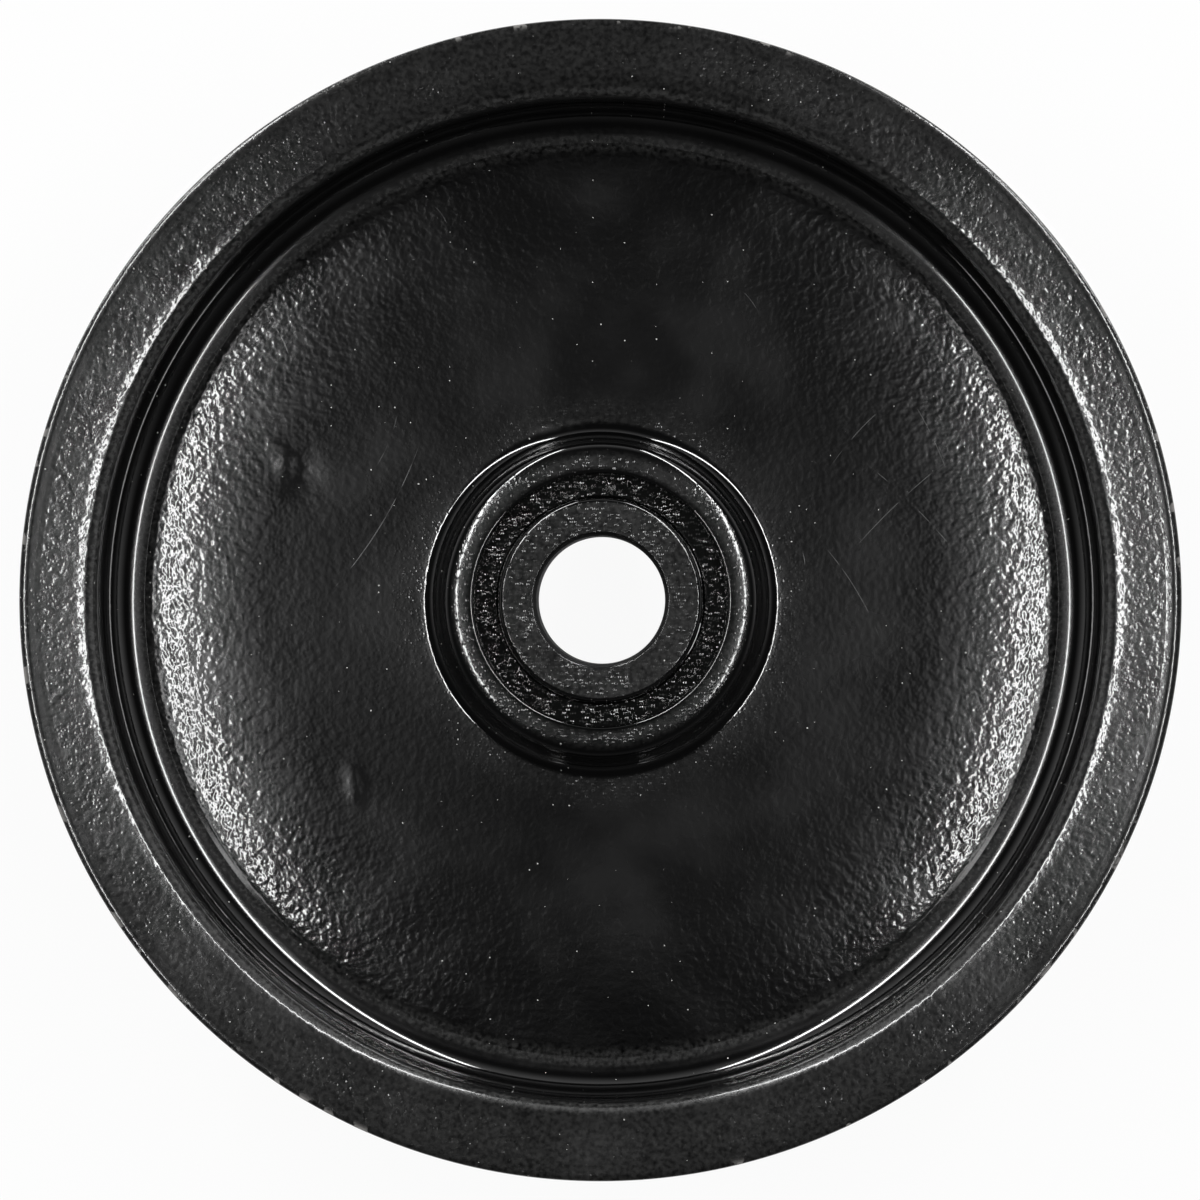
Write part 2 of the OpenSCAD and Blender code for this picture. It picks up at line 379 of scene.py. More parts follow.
class Sheet(Nodes):
    """One material's node tree, read in Object coordinates."""

    def __init__(self, name: str) -> None:
        """Starts a material that holds one shader.

        Args:
            name: Name of the material.
        """
        self.material = bpy.data.materials.new(name)
        self.material.use_nodes = True
        super().__init__(self.material.node_tree)
        self.shader = self.tree.nodes["Principled BSDF"]
        self.place = self.node("ShaderNodeTexCoord").outputs["Object"]

    def vector(self, operation: str, first: Any, second: Any) -> bpy.types.NodeOutputs:
        """Works out a vector sum of two terms."""
        return self.node("ShaderNodeVectorMath", {0: first, 1: second}, operation=operation).outputs

    def away(self, place: Socket, point: Array) -> Socket:
        """Gives the distance of a place from a point of the flat."""
        return self.vector("DISTANCE", place, (*point, 0.0))["Value"]

    def noise(self, scale: float, detail: float = 0.0, place: Socket | None = None) -> Socket:
        """Gives soft random values around 0.5, with a number of waves per metre."""
        where = place or self.place
        return self.node("ShaderNodeTexNoise", {"Vector": where, "Scale": scale, "Detail": detail}).outputs[0]

    def cells(self, scale: float) -> bpy.types.NodeOutputs:
        """Cuts the space into random cells, with a number of them per metre."""
        return self.node("ShaderNodeTexVoronoi", {"Vector": self.place, "Scale": scale}).outputs

    def tint(self, share: Any, first: Any, second: Any) -> Socket:
        """Goes from a first colour to a second one by a share.

        Args:
            share: Number or socket from 0 to 1.
            first: Colour or socket at 0.
            second: Colour or socket at 1.

        Returns:
            The mixed colour.
        """
        colours = [c if isinstance(c, bpy.types.NodeSocket) else (*c, 1.0) for c in (first, second)]
        terms = {0: share, 6: colours[0], 7: colours[1]}
        return self.node("ShaderNodeMix", terms, data_type="RGBA").outputs[2]

    def mark(self, name: str) -> Socket:
        """Reads one of the piece's own values."""
        return self.node("ShaderNodeAttribute", attribute_name=name).outputs["Fac"]

    def relief(self, height: Socket) -> None:
        """Tilts the shading by a height.

        Args:
            height: Height of the surface's own waves, in metres.
        """
        bump = self.node("ShaderNodeBump", {"Strength": 1.0, "Distance": 1.0, "Height": height})
        self.put(self.shader.inputs["Normal"], bump.outputs[0])
        self.put(self.shader.inputs["Coat Normal"], bump.outputs[0])

    def finish(self, **inputs: Any) -> bpy.types.Material:
        """Sets the shader's sockets.

        Args:
            **inputs: Numbers or sockets by the socket's name, with underscores for spaces.

        Returns:
            The material.
        """
        for name, value in inputs.items():
            self.put(self.shader.inputs[name.replace("_", " ")], value)
        return self.material


# Finishes


@dataclass(frozen=True)
class Patches:
    """Soft random patches: waves per metre, finer layers of waves, and the fade that cuts them out."""

    waves: float
    detail: float
    edge: Fade

    def mask(self, sheet: Sheet) -> Socket:
        """Gives 1 inside the patches and 0 between them."""
        return sheet.ramp(sheet.noise(self.waves, self.detail), self.edge)


@dataclass(frozen=True)
class Specks:
    """Scattered round specks: cells per metre, the largest share of a cell, and how rare large ones are."""

    cells: float = 950.0
    size: float = 0.10
    rare: float = 4.0

    def mask(self, sheet: Sheet) -> Socket:
        """Marks the specks: a disc in each cell, as large as the cell's own chance to a power.

        Args:
            sheet: Material that gets the nodes.

        Returns:
            1 inside the specks and 0 between them.
        """
        cell = sheet.cells(self.cells)
        chance = sheet.axes(cell["Color"])["X"]
        reach = sheet.math("MULTIPLY", sheet.math("POWER", chance, self.rare), self.size)
        return sheet.math("LESS_THAN", cell["Distance"], reach)


@dataclass(frozen=True)
class Beads:
    """Round beads of paint: cells per metre, height in metres, and how rare tall ones are.

    They stand lower between patches, which are so many cells wide.
    """

    cells: float
    height: float
    rare: float
    reach: float = 0.6
    patch_cells: float = 16.0
    patch_edge: Fade = Fade(0.35, 0.6, 0.4, 1.0)

    def relief(self, sheet: Sheet) -> Socket:
        """Raises a soft dome in each cell, times the cell's own chance to a power and its patch.

        Args:
            sheet: Material that gets the nodes.

        Returns:
            The height in metres.
        """
        cell = sheet.cells(self.cells)
        chance = sheet.math("POWER", sheet.axes(cell["Color"])["Y"], self.rare)
        patch = sheet.ramp(sheet.noise(self.cells / self.patch_cells), self.patch_edge)
        bead = sheet.ramp(cell["Distance"], Fade(0.0, self.reach, self.height, 0.0))
        return sheet.math("MULTIPLY", bead, sheet.math("MULTIPLY", chance, patch))


@dataclass(frozen=True)
class Scratch:
    """A hairline scratch on the front web: its ends, bow and width in millimetres, and how bright it is.

    It fades out between two shares of its chord, counted from the middle.
    """

    start: tuple[float, float]
    end: tuple[float, float]
    bow: float
    strength: float = 1.0
    width: float = 0.09
    fade_start: float = 0.3
    fade_end: float = 0.5

    def mask(self, sheet: Sheet, flat: Socket) -> Socket:
        """Marks the points that lie close to the scratch's arc.

        The arc of bow b over a chord c has radius (c^2 / 4 + b^2) / 2b. A point is on it where its distance
        from the centre is within a width of that radius, and the scratch fades out where the distance from
        the chord's middle nears half the chord.

        Args:
            sheet: Material that gets the nodes.
            flat: Place of the shaded point with its height taken out.

        Returns:
            The scratch's strength on the scratch and 0 beside it.
        """
        start, end, bow = np.array(self.start) * MM, np.array(self.end) * MM, self.bow * MM
        chord, middle = np.hypot(*(end - start)), (start + end) / 2
        radius = (chord**2 / 4 + bow**2) / (2 * bow)
        centre = middle + (bow - radius) * left_of(unit(end - start))
        off = sheet.math("ABSOLUTE", sheet.math("SUBTRACT", sheet.away(flat, centre), abs(radius)))
        line = sheet.ramp(off, Fade(0.0, self.width * MM, self.strength, 0.0))
        run = Fade(self.fade_start * chord, self.fade_end * chord, 1.0, 0.0)
        return sheet.math("MULTIPLY", line, sheet.ramp(sheet.away(flat, middle), run))


@dataclass(frozen=True)
class BlackPaint:
    """Glossy black paint with orange peel, dust specks, patches of dust and painted sheen, hazy patches,
    scratches and chipped edges.
    """

    name: str = "black_paint"
    colour: Colour = (0.0015, 0.0015, 0.0016)
    # Colour of dust, also used as a painted sheen on the shoulder, seam and rim bend.
    dust_colour: Colour = (0.120, 0.120, 0.118)
    scratch_colour: Colour = (0.16, 0.16, 0.16)
    speck_colour: Colour = (0.62, 0.62, 0.60)
    chip_colour: Colour = (0.30, 0.29, 0.28)
    satin: float = 0.25
    dull_gloss: float = 0.85
    specular: float = 0.55
    coat: float = 0.85
    coat_gloss: float = 0.07
    peel_waves: float = 1000.0
    peel_detail: float = 1.0
    peel_height: float = 0.085 * MM
    beads: Beads = Beads(2300.0, 0.11 * MM, 2.0)
    specks: Specks = Specks()
    # Patches that carry dust, and painted sheen where a zone's share asks for it.
    dust: Patches = Patches(1600.0, 1.0, Fade(0.15, 0.85))
    chips: Patches = Patches(300.0, 3.0, Fade(0.60, 0.64))
    clouds: Patches = Patches(90.0, 2.0, Fade(0.35, 0.75))
    cloud_dust: float = 0.012
    cloud_satin: float = 0.15
    scratches: tuple[Scratch, ...] = ()
    scratch_breaks: Patches = Patches(420.0, 1.0, Fade(0.38, 0.58))

    def height(self, sheet: Sheet) -> Socket:
        """Adds up the paint's own waves: orange peel on the open faces and beads on the dusty ones.

        Args:
            sheet: Material that gets the nodes.

        Returns:
            The height in metres.
        """
        peel = sheet.math("MULTIPLY", sheet.noise(self.peel_waves, self.peel_detail), self.peel_height)
        waves = sheet.math("MULTIPLY", peel, sheet.mark("peel"))
        return sheet.math("MULTIPLY_ADD", self.beads.relief(sheet), sheet.mark("grain"), waves)

    def hairlines(self, sheet: Sheet) -> Socket:
        """Adds up the scratches, broken along their length by patches, on the front alone.

        Args:
            sheet: Material that gets the nodes.

        Returns:
            The strength of the scratches at each point.
        """
        flat = sheet.vector("MULTIPLY", sheet.place, (1.0, 1.0, 0.0))["Vector"]
        total, *others = [scratch.mask(sheet, flat) for scratch in self.scratches]
        for mask in others:
            total = sheet.math("MAXIMUM", total, mask)
        front = sheet.math("GREATER_THAN", sheet.axes(sheet.place)["Z"], 0.0)
        return sheet.math("MULTIPLY", total, sheet.math("MULTIPLY", self.scratch_breaks.mask(sheet), front))

    def material(self) -> bpy.types.Material:
        """Builds the paint: a satin layer under a glossy coat, dull and without the coat on specks and chips.

        Returns:
            The material.
        """
        sheet = Sheet(self.name)
        sheet.relief(self.height(sheet))
        clouds, specks = self.clouds.mask(sheet), self.specks.mask(sheet)
        # The dust share lightens the colour: real dust on most stretches, painted sheen on the shoulder, seam
        # and rim bend.
        dust = sheet.math("MULTIPLY", self.dust.mask(sheet), sheet.mark("dust"))
        dusty = sheet.math("MAXIMUM", dust, sheet.math("MULTIPLY", clouds, self.cloud_dust))
        chips = sheet.math("MULTIPLY", sheet.mark("edge"), self.chips.mask(sheet))
        colour = sheet.tint(dusty, self.colour, self.dust_colour)
        if self.scratches:
            colour = sheet.tint(self.hairlines(sheet), colour, self.scratch_colour)
        colour = sheet.tint(specks, colour, self.speck_colour)
        colour = sheet.tint(chips, colour, self.chip_colour)
        spread = self.cloud_satin * self.satin
        satin = sheet.blend(clouds, self.satin - spread, self.satin + spread)
        satin = sheet.blend(sheet.mark("haze"), self.coat_gloss, satin)
        bare = sheet.math("MAXIMUM", sheet.math("MAXIMUM", specks, chips), sheet.mark("dull"))
        return sheet.finish(Base_Color=colour, Roughness=sheet.blend(bare, satin, self.dull_gloss),
                            Specular_IOR_Level=self.specular, Coat_Weight=sheet.blend(bare, self.coat, 0.0),
                            Coat_Roughness=self.coat_gloss)


@dataclass(frozen=True)
class SealFinish:
    """Rough rubber under the same paint, so that its grains sparkle."""

    name: str = "seal_rubber"
    colour: Colour = (0.004, 0.004, 0.004)
    gloss: float = 0.07
    coat: float = 1.0
    beads: Beads = Beads(1900.0, 0.24 * MM, 1.2)

    def material(self) -> bpy.types.Material:
        """Builds the rubber's finish, with a round bead of paint in each cell of a random pattern.

        Returns:
            The material.
        """
        sheet = Sheet(self.name)
        sheet.relief(self.beads.relief(sheet))
        return sheet.finish(Base_Color=(*self.colour, 1.0), Roughness=self.gloss, Coat_Weight=self.coat,
                            Coat_Roughness=self.gloss)


@dataclass(frozen=True)
class Steel:
    """Bare steel, ground or pressed, with faint turning marks that run round the axle."""

    name: str
    colour: Colour
    gloss: float
    marks_height: float
    marks_waves: float = 900.0
    marks_detail: float = 2.0
    marks_stretch: float = 12.0
    marks_low: float = 0.3
    marks_high: float = 0.7
    gloss_spread: float = 0.3

    def material(self) -> bpy.types.Material:
        """Builds the bare metal.

        Returns:
            The material.
        """
        sheet = Sheet(self.name)
        stretched = sheet.vector("MULTIPLY", sheet.place, (1.0, 1.0, self.marks_stretch))["Vector"]
        marks = sheet.noise(self.marks_waves, self.marks_detail, stretched)
        sheet.relief(sheet.math("MULTIPLY", marks, self.marks_height))
        dull, bright = (1.0 + self.gloss_spread) * self.gloss, (1.0 - self.gloss_spread) * self.gloss
        gloss = sheet.ramp(marks, Fade(self.marks_low, self.marks_high, bright, dull))
        return sheet.finish(Base_Color=(*self.colour, 1.0), Roughness=gloss, Metallic=1.0)


GROUND_STEEL = Steel("bearing_steel", colour=(0.60, 0.61, 0.63), gloss=0.18, marks_height=0.004 * MM)
PRESSED_STEEL = Steel("cage_steel", colour=(0.48, 0.48, 0.48), gloss=0.36, marks_height=0.010 * MM)


# Pieces


@dataclass(frozen=True)
class Bend:
    """A corner of the sheet's front face, with the radius of its bend."""

    radius: float
    height: float
    bend: float


@dataclass(frozen=True)
class Dent:
    """A small swelling or hollow of the front face, drawn as a bell over an ellipse."""

    x: float
    y: float
    across: float
    along: float
    height: float
    lean: float = 0.0

    def lift(self, grid: Array) -> Array:
        """Gives the height that the dent adds at each point of a grid.

        The bell is h exp(-(u / across)^2 - (v / along)^2), with u and v turned by the lean.

        Args:
            grid: Points in millimetres.

        Returns:
            One height for each point.
        """
        angle = math.radians(self.lean)
        dx, dy = grid[..., 0] - self.x, grid[..., 1] - self.y
        u = dx * math.cos(angle) + dy * math.sin(angle)
        v = dy * math.cos(angle) - dx * math.sin(angle)
        return self.height * np.exp(-((u / self.across) ** 2) - (v / self.along) ** 2)


@dataclass(frozen=True)
class Lift:
    """A stretch of the flange's edge that stands up a little, drawn as a bell over radius and azimuth."""

    radius: float
    azimuth: float
    width: float
    spread: float
    height: float

    def lift(self, grid: Array) -> Array:
        """Gives the height that the stretch adds at each point of a grid.

        The bell is h exp(-(s / width)^2 - (a / spread)^2), with s and a the steps in radius and azimuth.

        Args:
            grid: Points in millimetres.

        Returns:
            One height for each point.
        """
        across = np.hypot(grid[..., 0], grid[..., 1]) - self.radius
        turn = np.degrees(np.arctan2(grid[..., 1], grid[..., 0])) - self.azimuth
        return self.height * np.exp(-((across / self.width) ** 2) - (turn / self.spread) ** 2)


@dataclass
class SheaveHalf:
    """One pressed half: lip, bearing pocket, dished web, rim and flared flange with its rolled edge."""

    side: Side
    paint: bpy.types.Material
    dents: tuple[Dent | Lift, ...] = ()
    flange_d: float = 152.4
    belt_face_d: float = 134.2
    overall_w: float = 35.0
    sheet_t: float = 1.2
    flange_flare: float = 13.0
    flange_bend_r: float = 2.6
    crease_w: float = 2.8
    crease_slope: float = 16.7
    crease_bend_r: float = 5.0
    edge_roll_r: float = 1.8
    edge_roll_angle: float = 40.0
    edge_tail: float = 0.3
    rim_fillet_r: float = 5.0
    seam_w: float = 0.1
    seam_bend_r: float = 0.3
    shoulder_w: float = 0.75
    shoulder_slope: float = 18.0
    shoulder_bend_r: float = 3.0
    dish_knee_d: float = 104.0
    dish_hub_slope: float = 2.0
    dish_straight: float = 0.2
    lip_flat_r: float = 17.8
    lip_crown_r: float = 6.0
    lip_crown_slope: float = 20.0
    crown_straight: float = 0.01
    neck_corner_r: float = 2.4
    neck_wall_h: float = 0.2
    neck_fillet_r: float = 2.9
    lip_bore_d: float = 33.4
    bearing_d: float = 40.06
    bearing_w: float = 17.06
    cut_edge_r: float = 0.3
    lip_edge_r: float = 0.55
    peel_lean: float = 18.0
    smooth_lean: float = 40.0
    chip_reach: float = 0.5
    front_chord: float = 0.7
    front_turn: float = 5.0
    back_chord: float = 3.0
    back_turn: float = 14.0
    steps: int = 348

    @property
    def name(self) -> str:
        """Name of the piece and of the node that it stands for."""
        return f"{self.side.name.lower()}_sheave_half"

    @property
    def lip_z(self) -> float:
        """Height of the lip's flat."""
        return self.bearing_w / 2 + self.sheet_t

    @property
    def neck_r(self) -> float:
        """Radius of the bearing pocket's outer wall."""
        return self.bearing_d / 2 + self.sheet_t

    @property
    def hub_z(self) -> float:
        """Height of the web where it meets the pocket."""
        return self.lip_z - self.neck_corner_r - self.neck_wall_h - self.neck_fillet_r

    @property
    def rim_r(self) -> float:
        """Radius of the rim's inner wall."""
        return self.belt_face_d / 2 - self.sheet_t

    def hub_bends(self) -> list[Bend]:
        """Lists the corners from the lip's edge over its crown to the pocket's foot.

        The crown leaves the flat on one arc, and a second one, as large as fits, turns down into the wall.

        Returns:
            The corners, in millimetres.
        """
        crown = math.radians(self.lip_crown_slope)
        setback = self.lip_crown_r * math.tan(crown / 2)
        crown_r = self.lip_flat_r + setback
        run = (self.neck_r - crown_r) / math.cos(crown) - setback - self.crown_straight
        neck_z = self.lip_z - math.tan(crown) * (self.neck_r - crown_r)
        return [
            Bend(self.lip_bore_d / 2, self.lip_z, self.lip_edge_r),
            Bend(crown_r, self.lip_z, self.lip_crown_r),
            Bend(self.neck_r, neck_z, run / math.tan((math.pi / 2 - crown) / 2)),
            Bend(self.neck_r, self.hub_z, self.neck_fillet_r),
        ]

    def dish_bends(self) -> list[Bend]:
        """Lists the corners of the dished web, from its knee over the shoulder and the seam to the rim.

        The knee's bend is as large as fits between the pocket's fillet and the shoulder's bend.

        Returns:
            The corners, in millimetres.
        """
        hub_slope, shoulder = math.radians(self.dish_hub_slope), math.radians(self.shoulder_slope)
        seam_r = self.rim_r - self.rim_fillet_r - self.seam_w
        knee_r = self.dish_knee_d / 2
        knee_z = self.hub_z - math.tan(hub_slope) * (knee_r - self.neck_r)
        shoulder_r = seam_r - self.shoulder_w
        shoulder_z = self.sheet_t + self.shoulder_w * math.tan(shoulder)
        rim_slope = math.atan2(knee_z - shoulder_z, shoulder_r - knee_r)
        setback = self.shoulder_bend_r * math.tan((shoulder - rim_slope) / 2)
        room = min((knee_r - self.neck_r) / math.cos(hub_slope) - self.neck_fillet_r,
                   (shoulder_r - knee_r) / math.cos(rim_slope) - setback)
        dish_r = (room - self.dish_straight) / math.tan((rim_slope - hub_slope) / 2)
        return [
            Bend(knee_r, knee_z, dish_r),
            Bend(shoulder_r, shoulder_z, self.shoulder_bend_r),
            Bend(seam_r, self.sheet_t, self.seam_bend_r),
            Bend(self.rim_r, self.sheet_t, self.rim_fillet_r),
        ]

    def flange_bends(self) -> list[Bend]:
        """Lists the corners of the flange, from the rim over the crease to the end of the rolled edge.

        The rolled edge's arc touches the overall width, and its tail ends at the flange's diameter.

        Returns:
            The corners, in millimetres.
        """
        flare, roll = math.radians(self.flange_flare), math.radians(self.edge_roll_angle)
        out, home = heading(flare), heading(flare - roll)
        centre = np.array([self.flange_d / 2, self.overall_w / 2 - self.edge_roll_r])
        centre[0] += self.edge_roll_r * home[1] - self.edge_tail * home[0]
        start = centre + self.edge_roll_r * left_of(out)
        setback = self.edge_roll_r * math.tan(roll / 2)
        corner = start + setback * out
        tail = corner + (setback + self.edge_tail) * home
        crease_z = start[1] - math.tan(flare) * (start[0] - self.rim_r - self.crease_w)
        flange_z = crease_z - math.tan(math.radians(self.crease_slope)) * self.crease_w
        return [
            Bend(self.rim_r, flange_z, self.flange_bend_r),
            Bend(self.rim_r + self.crease_w, crease_z, self.crease_bend_r),
            Bend(*corner, self.edge_roll_r),
            Bend(*tail, self.cut_edge_r),
        ]

    def front_face(self) -> list[Bend]:
        """Lists the corners of the front face, from the lip's edge out to the flange's edge."""
        return self.hub_bends() + self.dish_bends() + self.flange_bends()

    def outline(self) -> tuple[Array, int]:
        """Draws the closed section: out along the front face and home along the back face.

        A corner of the back face lies a sheet's thickness behind both of its straights, at
        F - t (n1 + n2) / (1 + n1 . n2), and its radius grows or shrinks by the same thickness.

        Returns:
            The points of the section, and how many of them, the first ones, lie on the front face.
        """
        face = self.front_face()
        front = np.array([[b.radius, b.height] for b in face])
        radii = np.array([b.bend for b in face])
        steps = np.diff(front, axis=0)
        normal = np.stack([-steps[:, 1], steps[:, 0]], axis=1) / np.hypot(*steps.T)[:, None]
        first, last = np.vstack([normal[:1], normal]), np.vstack([normal, normal[-1:]])
        back = front - self.sheet_t * (first + last) / (1 + (first * last).sum(axis=1, keepdims=True))
        bends = np.sign(first[:, 0] * last[:, 1] - first[:, 1] * last[:, 0])
        back_radii = radii + bends * self.sheet_t
        back_radii[Corner.LIP] = self.cut_edge_r
        inner, outer = (front[0] + back[0]) / 2, (front[-1] + back[-1]) / 2
        fore = rounded(np.vstack([inner, front, outer]), np.array([0, *radii, 0]),
                       self.front_chord, self.front_turn)
        rear = rounded(np.vstack([outer, back[::-1], inner]), np.array([0, *back_radii[::-1], 0]),
                       self.back_chord, self.back_turn)
        return np.vstack([fore, rear[1:-1]]), len(fore)

    def skins(self, points: Array, front: int) -> dict[str, Array]:
        """Works out how the paint lies at each point of the section.

        The paint changes evenly from each zone's radius to the next. Steep walls of the front face are
        smooth, because the paint runs there: peel and grain fade between two leans. The chipped edge is a
        bell over the radius, highest at the flange's diameter.

        Args:
            points: Points of the section.
            front: Number of points on the front face.

        Returns:
            The values by name: those of a Lay, and edge, for the chips.
        """
        face = self.front_face()
        knots = [face[zone.corner].radius + zone.outside for zone in ZONES]
        rows = np.array([zone.skin.value for zone in ZONES]).T
        marks = {name: np.interp(points[:, 0], knots, row) for name, row in zip(Lay._fields, rows)}
        ahead = np.roll(points, -1, axis=0) - np.roll(points, 1, axis=0)
        steep, flat = math.cos(math.radians(self.smooth_lean)), math.cos(math.radians(self.peel_lean))
        level = rise(ahead[:, 0] / np.hypot(*ahead.T), steep, flat)
        level[front:] = 1.0
        marks["peel"] *= level
        marks["grain"] *= level
        marks["edge"] = np.exp(-((points[:, 0] - self.flange_d / 2) / self.chip_reach) ** 2)
        return marks

    def build(self) -> bpy.types.Object:
        """Builds, dents, paints and seats the half.

        Returns:
            The finished piece.
        """
        points, front = self.outline()
        grid, quads = revolved(points, self.steps)
        grid[..., 2] += sum((dent.lift(grid) for dent in self.dents), np.zeros(grid.shape[:2]))
        made = piece(self.name, grid, quads, self.side, self.skins(points, front))
        return seated(made, self.paint, "sheave", self.name)


@dataclass
class InnerRing:
    """The bearing's inner ring, wider than the rest, so that a bolt clamps it alone."""

    paint: bpy.types.Material
    name: str = "bearing_inner_ring"
    bore_d: float = 17.0
    land_d: float = 27.0
    width: float = 21.0
    bore_chamfer: float = 0.5
    corner_r: float = 0.7
    edge_r: float = 0.25
    race_r: float = 3.4735
    pitch_r: float = 14.5
    dust_depth: float = 0.035
    chord: float = 0.8
    turn: float = 8.0
    race_points: int = 10
    steps: int = 300

    def outline(self) -> Array:
        """Draws the section clockwise from the bore: the upper half with its race, then its mirror image.

        Returns:
            The points as rows of radius and height.
        """
        bore, land, half = self.bore_d / 2, self.land_d / 2, self.width / 2
        opening = math.sqrt(self.race_r**2 - (self.pitch_r - land) ** 2)
        corners = [
            [bore, 0.0],
            [bore, half - self.bore_chamfer],
            [bore + self.bore_chamfer, half],
            [land, half],
            [land, opening],
        ]
        radii = np.array([0.0, self.edge_r, self.edge_r, self.corner_r, 0.0])
        upper = rounded(np.array(corners), radii, self.chord, self.turn)
        turn = np.linspace(math.pi - math.asin(opening / self.race_r), math.pi, self.race_points)[1:]
        race = np.stack([self.pitch_r + self.race_r * np.cos(turn), self.race_r * np.sin(turn)], axis=1)
        upper = np.vstack([upper, race])
        return np.vstack([upper, upper[-2:0:-1] * np.array([1.0, -1.0])])

    def build(self) -> bpy.types.Object:
        """Builds, paints and seats the ring, dusty on its end faces and dull in the bore.

        Returns:
            The finished piece.
        """
        points = self.outline()
        bore, half = self.bore_d / 2, self.width / 2
        dusty = rise(np.abs(points[:, 1]), half - self.dust_depth, half)
        marks = {name: dusty * value for name, value in Skin.RING.value._asdict().items()}
        marks["dull"] = rise(-points[:, 0], -bore - self.bore_chamfer, -bore)
        made = piece(self.name, *revolved(points, self.steps), Side.FRONT, marks)
        return seated(made, self.paint, "inner_race", self.name)


@dataclass
class Seal:
    """One of the two rubber seals, held in the outer ring's groove."""

    side: Side
    rubber: bpy.types.Material
    inner_r: float = 13.6
    outer_r: float = 17.37
    inner_z: float = 6.77
    outer_z: float = 7.97
    lip_chamfer: float = 0.25
    edge_r: float = 0.1
    chord: float = 0.4
    turn: float = 15.0
    steps: int = 240

    def build(self) -> bpy.types.Object:
        """Builds the seal from its section, which runs clockwise from the middle of its back.

        Returns:
            The finished piece.
        """
        middle = [(self.inner_r + self.outer_r) / 2, self.inner_z]
        corners = [
            middle,
            [self.inner_r, self.inner_z],
            [self.inner_r, self.outer_z - self.lip_chamfer],
            [self.inner_r + self.lip_chamfer, self.outer_z],
            [self.outer_r, self.outer_z],
            [self.outer_r, self.inner_z],
            middle,
        ]
        points = rounded(np.array(corners), np.full(len(corners), self.edge_r), self.chord, self.turn)
        name = f"{self.side.name.lower()}_seal"
        made = piece(name, *revolved(points[:-1], self.steps), self.side, {})
        return seated(made, self.rubber, "sheave", name)


@dataclass
class BearingInside:
    """The bearing's outer ring, balls, cage and rivets, which keep their own solids."""

    ground: bpy.types.Material
    pressed: bpy.types.Material
    pressed_nodes: tuple[str, ...] = ("cage_front", "cage_back", "cage_rivets")

    def dress(self) -> list[str]:
        """Gives each solid that still shows its steel.

        Returns:
            The names of the solids.
        """
        shown = [name for name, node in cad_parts.items() if not node.hide_render]
        for name in shown:
            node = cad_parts[name]
            node.data.materials.clear()
            node.data.materials.append(self.pressed if name in self.pressed_nodes else self.ground)
        return shown


# Studio


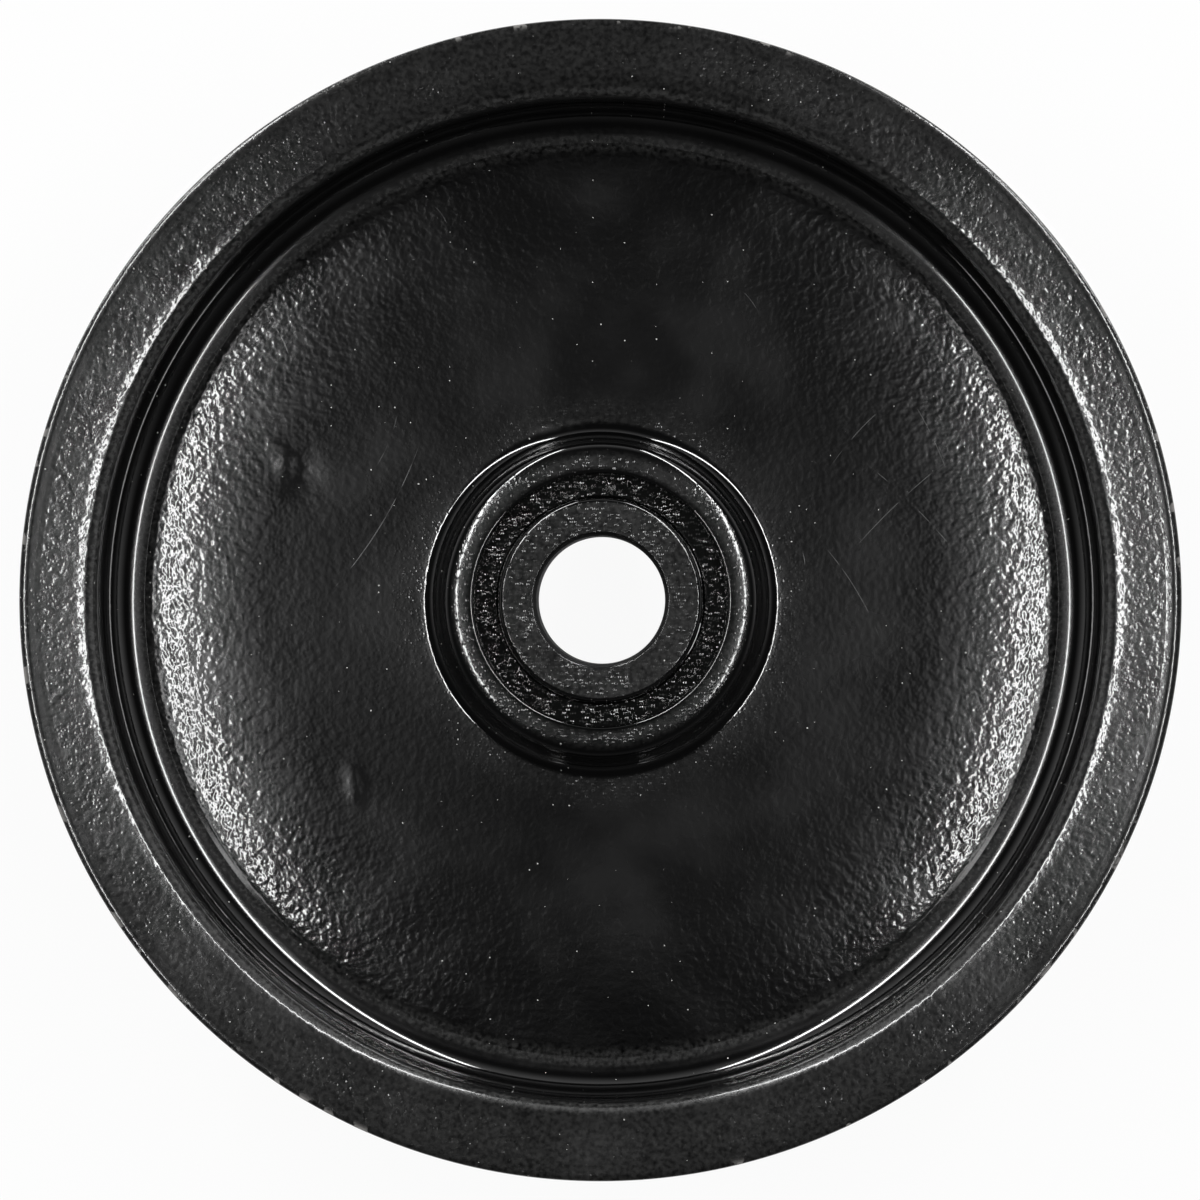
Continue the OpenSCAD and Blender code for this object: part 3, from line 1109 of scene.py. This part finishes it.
@dataclass
class Studio:
    """White floor, dim dome, two long soft boxes beside the pulley and the camera above it.

    The soft boxes run along Y on both sides and slope down towards the far end. The fades of the dome read
    a direction's X, Y or Z, and frame_width is the picture's width at the height of the front flange.
    """

    floor_size: float = 6.0
    floor_colour: Colour = (0.9, 0.9, 0.9)
    floor_glow: float = 0.94
    box_width: float = 0.065
    box_near: float = -0.54
    box_far: float = 2.5
    box_reach: float = 0.60
    box_height: float = 1.2
    box_slope: float = 20.0
    box_radiance: float = 25.0
    dome_dark: float = 0.02
    dome_pale: float = 0.5
    pale_low: Fade = Fade(0.15, 0.60, 1.0, 0.0)
    pale_away: Fade = Fade(-0.5, 0.15, 0.10, 1.0)
    glow_grows: Fade = Fade(0.02, 0.26, 0.0, 0.5)
    glow_fades: Fade = Fade(0.30, 0.60, 1.0, 0.0)
    glow_middle: Fade = Fade(0.02, 0.20, 1.0, 0.0)
    camera_distance: float = 1.0
    camera_lean: float = 0.1
    camera_aside: float = 0.6
    camera_near: float = 0.01
    frame_width: float = 0.15702

    def build(self) -> None:
        """Sets up everything that is not the pulley."""
        bpy.context.scene.view_settings.view_transform = "Standard"
        self.floor()
        self.dome()
        for sign in (-1, 1):
            self.soft_box(sign)
        self.camera()

    def floor(self) -> None:
        """Lays a white floor under the back flange, which shows white to the camera but keeps the shadow."""
        half, level = self.floor_size / 2, CAD_BOX[0].z
        mesh = bpy.data.meshes.new("floor")
        corners = [(-half, -half, level), (half, -half, level), (half, half, level), (-half, half, level)]
        mesh.from_pydata(corners, [], [(0, 1, 2, 3)])
        sheet = Sheet("white_floor")
        diffuse = sheet.node("ShaderNodeBsdfDiffuse", {"Color": (*self.floor_colour, 1.0)})
        glow = sheet.node("ShaderNodeEmission", {"Color": WHITE, "Strength": 1.0})
        share = sheet.math("MULTIPLY", sheet.seen(), self.floor_glow)
        mixed = sheet.node("ShaderNodeMixShader", {0: share, 1: diffuse.outputs[0], 2: glow.outputs[0]})
        sheet.put(sheet.tree.nodes["Material Output"].inputs["Surface"], mixed.outputs[0])
        mesh.materials.append(sheet.material)
        linked("floor", mesh)

    def dome(self) -> None:
        """Hangs a dim dome that the camera sees as white.

        It is dark overhead and on the camera's side, and pale round the other sides. A soft glow on both
        sides of the middle grows and fades with the step to the side, and fades towards both ends.
        """
        world = bpy.data.worlds.new("studio")
        bpy.context.scene.world = world
        world.use_nodes = True
        sky = Nodes(world.node_tree)
        sky.tree.nodes.clear()
        axes = sky.axes(sky.node("ShaderNodeTexCoord").outputs["Generated"])
        pale = sky.math("MULTIPLY", sky.ramp(axes["Z"], self.pale_low), sky.ramp(axes["Y"], self.pale_away))
        base = sky.math("MULTIPLY_ADD", pale, self.dome_pale, self.dome_dark)
        sideways, endways = sky.math("ABSOLUTE", axes["X"]), sky.math("ABSOLUTE", axes["Y"])
        glow = sky.math("MULTIPLY", sky.ramp(sideways, self.glow_grows), sky.ramp(sideways, self.glow_fades))
        level = sky.math("MULTIPLY_ADD", glow, sky.ramp(endways, self.glow_middle), base)
        camera = sky.node("ShaderNodeLightPath").outputs["Is Camera Ray"]
        strength = sky.blend(camera, level, 1.0)
        background = sky.node("ShaderNodeBackground", {"Color": WHITE, "Strength": strength})
        sky.node("ShaderNodeOutputWorld", {"Surface": background.outputs[0]})

    def soft_box(self, sign: int) -> None:
        """Hangs one long soft box beside the pulley, turned about its length to face it.

        Args:
            sign: Side of the pulley, -1 for the left and 1 for the right.
        """
        slope = math.radians(self.box_slope)
        along = Vector((0.0, math.cos(slope), -math.sin(slope)))
        middle = (self.box_near + self.box_far) / 2
        place = Vector((sign * self.box_reach, middle, self.box_height - middle * math.tan(slope)))
        data = bpy.data.lights.new(f"soft_box_{sign}", "AREA")
        data.shape = "RECTANGLE"
        data.size, data.size_y = self.box_width, (self.box_far - self.box_near) / math.cos(slope)
        data.energy = self.box_radiance * math.pi * data.size * data.size_y
        lamp = linked(data.name, data)
        lamp.matrix_world = self.hung(place, along, (place - place.dot(along) * along).normalized())
        lamp.visible_camera = False

    @staticmethod
    def hung(place: Vector, along: Vector, back: Vector) -> Matrix:
        """Gives the transform of a thing at a place, from the ways that its Y and Z axes point."""
        return Matrix.Translation(place) @ Matrix((along.cross(back), along, back)).transposed().to_4x4()

    def camera(self) -> None:
        """Hangs the camera over the front, a little towards the bottom and the right of the picture."""
        lean, aside, rim = math.radians(self.camera_lean), math.radians(self.camera_aside), CAD_BOX[1].z
        back = Vector((math.sin(aside), -math.sin(lean), math.cos(lean))).normalized()
        up = Vector((0.0, 1.0, 0.0))
        away = self.camera_distance - rim
        data = bpy.data.cameras.new("camera")
        data.lens = data.sensor_width * away / self.frame_width
        data.clip_start = self.camera_near
        camera = linked("camera", data)
        place = Vector((0.0, 0.0, rim)) + back * away
        camera.matrix_world = self.hung(place, (up - up.dot(back) * back).normalized(), back)
        bpy.context.scene.camera = camera


# Wear of the front half

SCRATCHES = (
    Scratch((-24.0, 21.0), (-36.0, 1.0), 1.2),
    Scratch((-27.0, 25.0), (-30.0, 17.5), 0.4, 0.5),
    Scratch((24.8, 10.5), (27.0, 2.5), 0.8),
    Scratch((39.6, 29.1), (47.5, 11.7), 0.9, 0.5),
    Scratch((30.3, 17.5), (38.7, 26.6), 0.5, 0.6),
    Scratch((29.3, 7.5), (37.1, -5.4), 0.7, 0.6),
    Scratch((34.7, 18.5), (48.0, 5.1), 0.6, 0.6),
    Scratch((33.3, 6.5), (46.7, 19.1), 0.5, 0.6),
    Scratch((-43.5, 36.5), (-41.5, 32.5), 0.2),
    Scratch((-23.0, 53.0), (-20.5, 50.0), 0.3),
    Scratch((18.7, 41.1), (21.3, 37.1), 0.3, 0.6),
    Scratch((-10.0, 21.7), (-2.0, 23.3), 0.5, 0.12, 0.9),
)

DENTS = (
    Dent(-41.8, 18.1, 0.9, 1.7, 0.26, 20.0),
    Dent(-43.4, 20.8, 0.6, 0.9, 0.10),
    Dent(-39.8, 16.8, 2.2, 2.6, -0.22),
    Dent(-33.1, -23.2, 0.8, 1.0, 0.17),
    Dent(-32.7, -25.3, 0.7, 1.4, 0.20),
    Dent(-53.6, 44.1, 0.45, 0.45, 0.30),
    Lift(75.0, -4.0, 1.1, 24.0, 0.10),
)


def main() -> None:
    """Builds the pulley piece by piece, then the studio around it."""
    logging.basicConfig(level=logging.INFO, format="%(name)s: %(message)s")
    front_paint = BlackPaint(name="front_paint", scratches=SCRATCHES).material()
    paint = BlackPaint().material()
    rubber = SealFinish().material()
    made = [
        SheaveHalf(Side.FRONT, front_paint, DENTS).build(),
        SheaveHalf(Side.BACK, paint).build(),
        InnerRing(paint).build(),
        Seal(Side.FRONT, rubber).build(),
        Seal(Side.BACK, rubber).build(),
    ]
    for one in made:
        log.info("%s: %d faces", one.name, len(one.data.polygons))
    for name in BearingInside(GROUND_STEEL.material(), PRESSED_STEEL.material()).dress():
        log.info("%s: kept as built", name)
    Studio().build()


if __name__ == "__main__":
    main()
